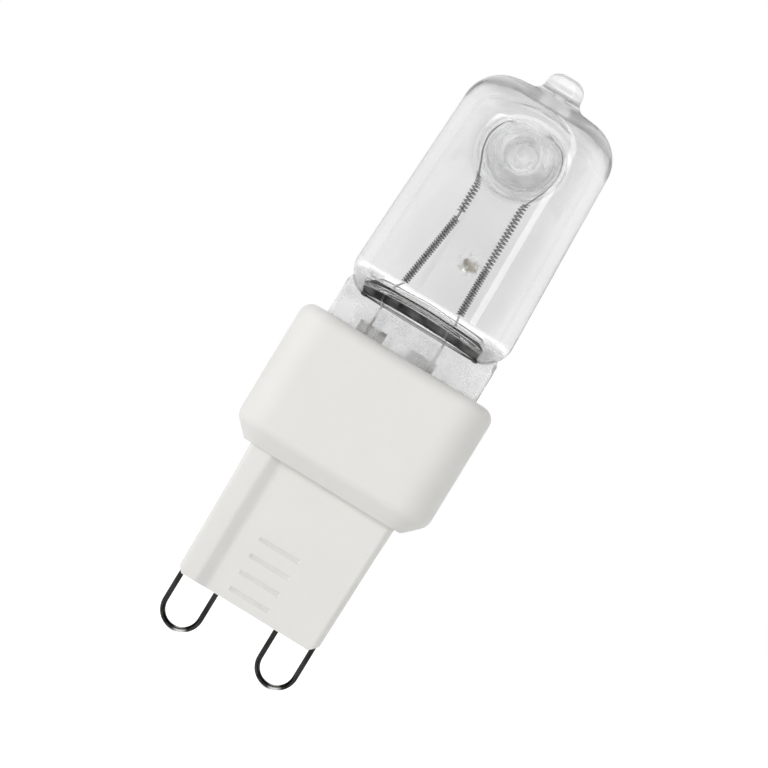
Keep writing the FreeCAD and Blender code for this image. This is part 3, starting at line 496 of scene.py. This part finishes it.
def metal_material(name, dark, light, rough, streak, metallic=1.0, mark_and_glint=None):
    """Drawn wire or rolled foil, streaked or mottled, with a patch of another colour where one is given: a
    dark edge line, or a painted glint.
    """
    material, tree, shader = new_material(name)
    place = millimetres(tree, streak)
    streaks = mottle(tree, place, scale=1.0, window=CRISP, least=0, most=1, detail=4, roughness=0.6)
    colour = blend_colours(tree, streaks, dark, light)
    if mark_and_glint:
        mark_and_glint_share, mark_and_glint_colour = mark_and_glint
        colour = blend_colours(tree, mark_and_glint_share(tree), colour, mark_and_glint_colour)
    tree.links.new(colour, shader.inputs["Base Color"])
    smoother, rougher = rough * 0.8, rough * 1.2
    tree.links.new(spread(tree, streaks, *SOFT, smoother, rougher), shader.inputs["Roughness"])
    shader.inputs["Metallic"].default_value = metallic
    bump(tree, shader, streaks, strength=0.15, distance_mm=0.01)
    return material


def painted_glint_share(tree):
    """One on the spot of each loop's bend where a glint is painted in as bright metal, and nought elsewhere.
    """
    place = millimetres(tree)
    spots = []
    for middle in (-LOOP_PLACE, LOOP_PLACE):
        away = distance(tree, place, (middle + GLINT_ASIDE, 0, GLINT_LEVEL))
        spots.append(below(tree, away, GLINT_CORE, GLINT_EDGE))
    return combine(tree, "MAXIMUM", *spots)


def burnt_edge_share(tree):
    """Up to one along the ragged dark line at the top of a foil, and little below it."""
    place = millimetres(tree)
    _, _, z = apart(tree, place)
    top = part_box("foil_left")[1].z / MM
    line_foot, line_core, trace = 0.4, 0.1, 0.15
    near_top = spread(tree, z, top - line_foot, top - line_core, trace, 1)
    ragged = mottle(tree, place, scale=1.1, window=(0.35, 0.6), least=0, most=0.9, detail=2)
    return combine(tree, "MULTIPLY", near_top, ragged)


def painted_dark_band_share(tree, place):
    """One on the dark band round the bulb's foot, a painted reflection of dark surroundings, with a paler
    line at each lead, and nought elsewhere.
    """
    x, y, z = apart(tree, place)
    arch = combine(tree, "MULTIPLY", DARK_BAND_ARCH, combine(tree, "MULTIPLY", x, x))
    over_top = combine(tree, "SUBTRACT", z, combine(tree, "SUBTRACT", DARK_BAND_TOP, arch))
    top_fade, foot_fade, side_fade, inner_fade = 0.08, 0.1, 0.15, 0.1
    share = combine(
        tree,
        "MULTIPLY",
        below(tree, over_top, -top_fade, 0.0),
        above(tree, z, DARK_BAND_FOOT, DARK_BAND_FOOT + foot_fade),
        below(tree, away_from(tree, x, 0.0), DARK_BAND_HALF_WIDTH, DARK_BAND_HALF_WIDTH + side_fade),
        above(tree, off_axis(tree, x, y), DARK_BAND_INNER_RADIUS, DARK_BAND_INNER_RADIUS + inner_fade),
    )
    line_core, line_edge, line_share = 0.06, 0.14, 0.35
    for lead in (LEFT_LEAD_X, RIGHT_LEAD_X):
        beside_lead = spread(tree, away_from(tree, x, lead), line_core, line_edge, line_share, 1)
        share = combine(tree, "MULTIPLY", share, beside_lead)
    return share


def worked_glass(tree, place):
    """Where the glass was pressed or melted: the share of haze, with painted light that whitens the bulb's
    lower corners and the dome's foot, how grey it is, and the uneven height.
    """
    x, _, z = apart(tree, place)
    half_width = away_from(tree, x, 0.0)
    off_dimple = off_axis(tree, x, combine(tree, "SUBTRACT", z, DIMPLE_LEVEL))
    in_dimple = below(tree, off_dimple, DIMPLE_HAZE_CORE, DIMPLE_MOUTH_RADIUS)
    in_pinch = below(tree, z, PINCH_HAZE_TOP, PINCH_TOP)

    cloud = mottle(tree, place, scale=0.5, window=(0.38, 0.66), least=0.06, most=0.55, roughness=0.6)
    milk = mottle(tree, place, scale=0.45, window=CRISP, least=0.14, most=0.42, detail=1)
    # Painted light: the lower corners beside the dark band and the dome's foot are whitened in the colour.
    corner_lightening, dome_lightening = 0.4, 0.22
    painted_corner_light = combine(
        tree,
        "MULTIPLY",
        spread(tree, z, *CORNER_LIGHT_TOP, corner_lightening, 0),
        above(tree, half_width, *CORNER_LIGHT_SIDE),
        above(tree, z, *CORNER_LIGHT_FOOT),
    )
    painted_dome_light = spread(tree, z, *DOME_LIGHT_FOOT, 0, dome_lightening)
    pinch_haze = combine(tree, "MULTIPLY", in_pinch, cloud)
    dimple_haze = combine(tree, "MULTIPLY", in_dimple, milk)
    haze_and_painted_light = combine(tree, "MAXIMUM", pinch_haze, dimple_haze, painted_corner_light, painted_dome_light)
    middle_grey, side_grey = 0.9, 0.2
    grey = combine(tree, "MULTIPLY", in_pinch, spread(tree, half_width, *GREY_SIDE, middle_grey, side_grey))

    crumple_height, swirl_height, flow_height = 8.0, 7.0, 2.5
    along_bulb = millimetres(tree, (0.55, 0.55, 0.07))
    crumple = combine(tree, "MULTIPLY", noise(tree, place, scale=0.8), crumple_height, in_pinch)
    swirl = combine(tree, "MULTIPLY", noise(tree, place, scale=0.3, detail=1), swirl_height, in_dimple)
    flow = combine(tree, "MULTIPLY", noise(tree, along_bulb, scale=1.0, detail=2), flow_height)
    return haze_and_painted_light, grey, combine(tree, "ADD", flow, combine(tree, "ADD", crumple, swirl))


def glass_material():
    """Clear quartz: milky where it was worked, with a painted dark reflection at the foot, painted light at
    the lower corners and the dome, and one brown speck.
    """
    clear_white, bloom_white = (0.995, 0.995, 0.995), (0.955, 0.955, 0.958)
    pale_milk, grey_milk, brown = (0.93, 0.93, 0.935), (0.5, 0.5, 0.525), (0.27, 0.245, 0.19)
    material, tree, shader = new_material("clear_quartz")
    place = millimetres(tree)
    dark_band = painted_dark_band_share(tree, place)
    haze_and_painted_light, grey, worked_height = worked_glass(tree, place)

    ragged = mottle(tree, place, scale=1.8, window=SOFT, least=-0.35, most=0.35)
    off_speck = combine(tree, "ADD", distance(tree, place, (MARK_X, -MARK_WALL, MARK_Z)), ragged)
    stain_share, halo_share = 0.85, 0.2
    stain = spread(tree, off_speck, STAIN_CORE, STAIN_EDGE, stain_share, 0)
    halo = spread(tree, off_speck, HALO_CORE, HALO_EDGE, halo_share, 0)
    haze_and_painted_light = combine(tree, "MAXIMUM", haze_and_painted_light, halo)

    bloom = mottle(tree, place, scale=0.16, window=(0.38, 0.62), least=0, most=1, detail=2)
    dark_band_colour = mottle(tree, place, scale=0.6, window=(0.42, 0.66), least=0.003, most=0.13)
    milk = blend_colours(tree, grey, pale_milk, grey_milk)
    colour = blend_colours(tree, bloom, clear_white, bloom_white)
    colour = blend_colours(tree, haze_and_painted_light, colour, milk)
    colour = blend_colours(tree, stain, colour, brown)
    dark_from = 0.2
    # Painted shade: the dark band at the foot stands for a reflection of dark surroundings.
    colour = blend_colours(tree, above(tree, dark_band, 0, dark_from), colour, dark_band_colour)
    tree.links.new(colour, shader.inputs["Base Color"])

    solid = combine(tree, "MAXIMUM", dark_band, haze_and_painted_light, stain)
    roughest = 0.9
    tree.links.new(spread(tree, solid, 0, 1, 0, roughest), shader.inputs["Roughness"])
    tree.links.new(below(tree, solid, 0, 1), shader.inputs["Transmission Weight"])
    shader.inputs["IOR"].default_value = 1.46
    height = combine(tree, "ADD", noise(tree, place, scale=0.45, detail=2), worked_height)
    bump(tree, shader, height, strength=0.05, distance_mm=0.1)
    depth = node(tree, "ShaderNodeVolumeAbsorption", {"Color": (0.9, 0.9, 0.9, 1), "Density": 450.0})
    tree.links.new(depth.outputs[0], tree.nodes["Material Output"].inputs["Volume"])
    return material


def dress_node(name, material):
    """Give a node of the solids its finish."""
    piece = nodes[name]
    piece.data.materials.clear()
    piece.data.materials.append(material)


# Stage: the camera's aim and frame and the floor's gap are in millimetres, the lamps' places in metres.

LEAN, YAW = math.radians(31.4), math.radians(3.0)
FRAME_WIDTH, LENS, SENSOR = 62.2, 250.0, 36.0
AIM = Vector((-0.1, 0.0, 21.5))
FLOOR_GAP, FLOOR_GLOW = 0.02, 0.56
AMBIENT, DIMMEST_THROUGH_GLASS = 0.55, 0.8

# A dim room in front of a bright backdrop: places round the object, from -X by the front, +X and the back,
# with their shades. The strip is a narrow bright card that the glass mirrors as a long line.
STRIP_START, STRIP_END, STRIP_GAIN = 0.4, 0.43, 5
ROOM_SHADES = [
    (0.0, 0.3), (0.12, 0.12), (0.25, 0.06), (0.395, 0.12), (0.405, 1.0), (0.425, 1.0), (0.435, 0.15),
    (0.5, 0.3), (0.62, 1.0), (0.7, 1.0), (0.75, 0.2), (0.8, 1.0), (0.88, 1.0), (1.0, 0.3),
]

to_camera = Vector((math.sin(YAW), -math.cos(YAW), 0))
level_right = Vector((math.cos(YAW), math.sin(YAW), 0))
level_up = Vector((0, 0, 1))
image_right = level_right * math.cos(LEAN) + level_up * math.sin(LEAN)
image_up = level_up * math.cos(LEAN) - level_right * math.sin(LEAN)


def make_camera():
    data = bpy.data.cameras.new("camera")
    data.lens, data.sensor_width = LENS, SENSOR
    data.clip_start, data.clip_end = 0.01, 20
    camera = bpy.data.objects.new("camera", data)
    bpy.context.scene.collection.objects.link(camera)
    turned = Matrix((image_right, image_up, to_camera)).transposed()
    back = to_camera * (FRAME_WIDTH * LENS / SENSOR)
    camera.matrix_world = Matrix.Translation((AIM + back) * MM) @ turned.to_4x4()
    bpy.context.scene.camera = camera


def make_lamp(name, right, up, front, width, power):
    """A soft lamp, placed by the picture's directions, aimed at the object."""
    data = bpy.data.lights.new(name, "AREA")
    data.shape, data.size, data.energy = "DISK", width, power
    lamp = bpy.data.objects.new(name, data)
    bpy.context.scene.collection.objects.link(lamp)
    lamp.visible_glossy = False
    lamp.visible_transmission = False
    away = image_right * right + image_up * up + to_camera * front
    lamp.location = AIM * MM + away
    lamp.rotation_mode = "QUATERNION"
    lamp.rotation_quaternion = away.to_track_quat("Z", "Y")


def seen_directly(tree):
    """One for camera, mirror and glass rays, which all show a white floor."""
    path = node(tree, "ShaderNodeLightPath").outputs
    return combine(tree, "MAXIMUM", path["Is Camera Ray"], path["Is Glossy Ray"], path["Is Transmission Ray"])


def room_shade(tree, place):
    """The room's shade at a place round the object."""
    made = node(tree, "ShaderNodeValToRGB", {"Fac": place})
    made.color_ramp.interpolation = "EASE"
    stops = made.color_ramp.elements
    while len(stops) < len(ROOM_SHADES):
        stops.new(0.5)
    for stop, (position, shade) in zip(stops, ROOM_SHADES):
        stop.position, stop.color = position, (shade, shade, shade, 1)
    return made.outputs["Color"]


def make_world():
    """White to the camera, nearly white through glass, the room in mirrors, and even light on the rest."""
    world = bpy.data.worlds.new("studio")
    bpy.context.scene.world = world
    world.use_nodes = True
    tree = world.node_tree
    light = tree.nodes["Background"]
    light.inputs["Color"].default_value = (1, 1, 1, 1)
    path = node(tree, "ShaderNodeLightPath").outputs
    direction = node(tree, "ShaderNodeTexCoord").outputs["Generated"]
    turn = node(tree, "ShaderNodeTexGradient", {"Vector": direction}, gradient_type="RADIAL")
    round_about = turn.outputs["Fac"]
    shade = room_shade(tree, round_about)
    strip = combine(tree, "MULTIPLY", combine(tree, "LESS_THAN", round_about, STRIP_END),
                    combine(tree, "GREATER_THAN", round_about, STRIP_START))
    in_mirrors = combine(tree, "MULTIPLY", shade, spread(tree, strip, 0, 1, 1, STRIP_GAIN))
    through_glass = spread(tree, shade, 0, 1, DIMMEST_THROUGH_GLASS, 1)
    shown = blend_values(tree, path["Is Glossy Ray"], AMBIENT, in_mirrors)
    shown = blend_values(tree, path["Is Transmission Ray"], shown, through_glass)
    shown = combine(tree, "MAXIMUM", shown, path["Is Camera Ray"])
    tree.links.new(shown, light.inputs["Strength"])


def make_floor():
    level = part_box("contact_loop_left")[0].z - FLOOR_GAP * MM
    bpy.ops.mesh.primitive_plane_add(size=4, location=(0, 0, level))
    floor = bpy.context.object
    floor.name = "floor"
    material, tree, shader = new_material("pale_floor")
    shader.inputs["Base Color"].default_value = (0.85, 0.85, 0.85, 1)
    shader.inputs["Roughness"].default_value = 0.9
    strength = spread(tree, seen_directly(tree), 0, 1, 0, FLOOR_GLOW)
    glow = node(tree, "ShaderNodeEmission", {"Strength": strength})
    both = node(tree, "ShaderNodeAddShader", {0: shader.outputs[0], 1: glow.outputs[0]})
    tree.links.new(both.outputs[0], tree.nodes["Material Output"].inputs["Surface"])
    floor.data.materials.append(material)


# The whole

# Painted shade: the wire's near-black colour stands for the dark room that the bright wire mirrors, and its
# bright patch is a painted glint.
loop_metal = metal_material(
    "contact_wire", dark=(0.014, 0.014, 0.013), light=(0.05, 0.05, 0.047), rough=0.15, streak=(4, 4, 0.4),
    mark_and_glint=(painted_glint_share, (0.62, 0.615, 0.6)),
)
lead_metal = metal_material(
    "molybdenum_wire", dark=(0.6, 0.585, 0.56), light=(0.85, 0.835, 0.8), rough=0.5, streak=(6, 6, 0.5),
)
foil_metal = metal_material(
    "molybdenum_foil", dark=(0.6, 0.595, 0.58), light=(0.97, 0.96, 0.93), rough=0.6, streak=(1.2, 1.2, 1.6),
    metallic=0.3, mark_and_glint=(burnt_edge_share, (0.1, 0.1, 0.1)),
)
tungsten = metal_material(
    "tungsten_wire", dark=(0.24, 0.24, 0.237), light=(0.5, 0.5, 0.49), rough=0.42, streak=(8, 8, 8),
)

dress_node("ceramic_base", ceramic_material())
dress_node("cement", cement_material())
for side in ("left", "right"):
    dress_node(f"contact_loop_{side}", loop_metal)
    dress_node(f"inner_lead_{side}", lead_metal)
    dress_node(f"outer_lead_{side}", lead_metal)
    dress_node(f"foil_{side}", foil_metal)

capsule = make_glass(glass_material())
capsule.visible_shadow = False
make_filament(tungsten)

make_camera()
make_world()
make_floor()
make_lamp("key", right=-0.36, up=0.2, front=0.28, width=0.3, power=1.8)
make_lamp("fill", right=0.15, up=0.02, front=0.45, width=0.3, power=0.4)
make_lamp("back", right=0.1, up=0.2, front=-0.45, width=0.3, power=0.75)

bpy.context.scene.view_settings.view_transform = "Standard"
